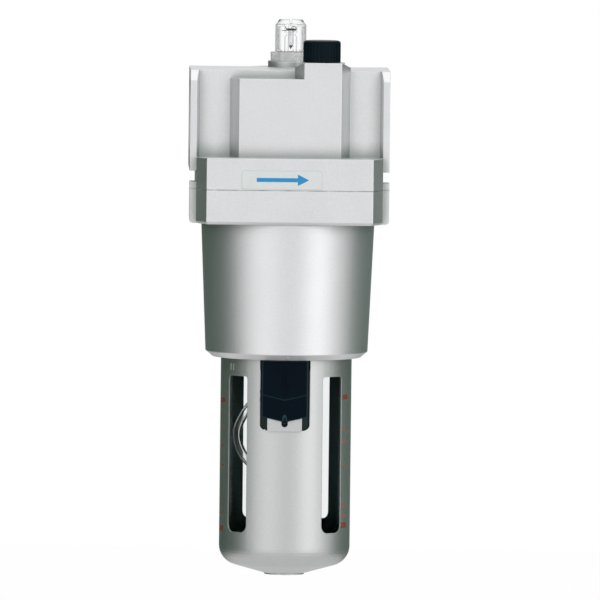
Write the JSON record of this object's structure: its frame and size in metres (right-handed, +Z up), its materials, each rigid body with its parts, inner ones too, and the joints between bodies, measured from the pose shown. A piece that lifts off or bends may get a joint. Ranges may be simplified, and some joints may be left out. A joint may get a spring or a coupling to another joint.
{
  "type": "air line lubricator",
  "caption": "Die-cast in-line lubricator with tapped ports, clear sight dome, fill plug, tapered housing and a clear oil bowl in a slotted metal guard with a lock button.",
  "frame": {"origin": "centre of the inlet port's mouth", "axes": "+X with the air flow from inlet to outlet, -Y towards the front with the lock button, +Z up along the bowl's axis"},
  "size_m": [0.09, 0.082, 0.2504],
  "materials": {
    "cast_metal": "satin silver paint",
    "guard_metal": "satin silver paint",
    "steel": "zinc plated",
    "brass": "machined",
    "rubber": "matt black",
    "flap_rubber": "matt",
    "grey_plastic": "matt",
    "black_plastic": "satin",
    "clear_plastic": "clear polycarbonate",
    "tube_plastic": "translucent nylon"
  },
  "bodies": {
    "head": {"head_casting": "cast_metal", "bowl_housing": "cast_metal", "housing_ring": "rubber", "housing_screws": "steel", "screw_washers": "steel", "damper_cartridge": "grey_plastic", "cartridge_screws": "steel", "cartridge_ring": "rubber", "damper_pin": "steel", "dome_nut": "clear_plastic", "dome_nut_ring": "rubber", "drip_nozzle": "clear_plastic", "siphon_adapter": "brass", "siphon_ring": "rubber", "pressure_valve": "brass", "oil_tube": "tube_plastic", "oil_strainer": "brass"},
    "bowl_unit": {"bowl": "clear_plastic", "bowl_ring": "rubber", "bayonet_collar": "steel", "collar_rivets": "steel", "bowl_guard": "guard_metal", "button_spring": "steel"},
    "button": {"lock_button": "black_plastic"},
    "dial": {"sight_dome": "clear_plastic", "dome_ring": "rubber", "needle_ring": "rubber"},
    "needle": {"metering_needle": "brass"},
    "plug_seal": {"fill_plug_ring": "rubber"},
    "plug": {"fill_plug": "black_plastic"},
    "damper": {"damper_flap": "flap_rubber"},
    "siphon_check": {"siphon_ball": "steel"},
    "pressure_check": {"pressure_ball": "steel"}
  },
  "joints": [
    {"name": "bowl_turn", "type": "hinge", "parent": "head", "child": "bowl_unit", "pos_m": [0.045, 0, -0.15], "axis": [0, 0, 1], "range_deg": [0, 45]},
    {"name": "lock_press", "type": "slide", "parent": "bowl_unit", "child": "button", "axis": [0, 0, -1], "range_m": [0, 0.0034], "stiffness_N_per_m": 600, "springref_m": -0.003, "deforming": ["button_spring"]},
    {"name": "dial_turn", "type": "hinge", "parent": "head", "child": "dial", "pos_m": [0.0458, 0.02, 0.03], "axis": [0, 0, 1], "range_deg": [0, 270]},
    {"name": "needle_lift", "type": "slide", "parent": "dial", "child": "needle", "axis": [0, 0, 1], "range_m": [0, 0.00056]},
    {"name": "plug_lift", "type": "slide", "parent": "head", "child": "plug_seal", "axis": [0, 0, 1], "range_m": [0, 0.00603]},
    {"name": "plug_turn", "type": "hinge", "parent": "plug_seal", "child": "plug", "pos_m": [0.0591, -0.0215, 0.03], "axis": [0, 0, 1], "range_deg": [0, 1440]},
    {"name": "damper_swing", "type": "hinge", "parent": "head", "child": "damper", "pos_m": [0.0465, 0, 0.009], "axis": [0, -1, 0], "range_deg": [0, 35], "stiffness_Nm_per_rad": 0.003, "springref_deg": -5.73},
    {"name": "siphon_ball_lift", "type": "slide", "parent": "head", "child": "siphon_check", "axis": [0, 0, 1], "range_m": [0, 0.0012]},
    {"name": "pressure_ball_lift", "type": "slide", "parent": "head", "child": "pressure_check", "axis": [0, 0, 1], "range_m": [0, 0.0012]}
  ],
  "couplings": [
    {"joint": "dial_turn", "follows": "needle_lift", "rad_per_m": 8333.3},
    {"joint": "plug_turn", "follows": "plug_lift", "rad_per_m": 4166.7}
  ]
}
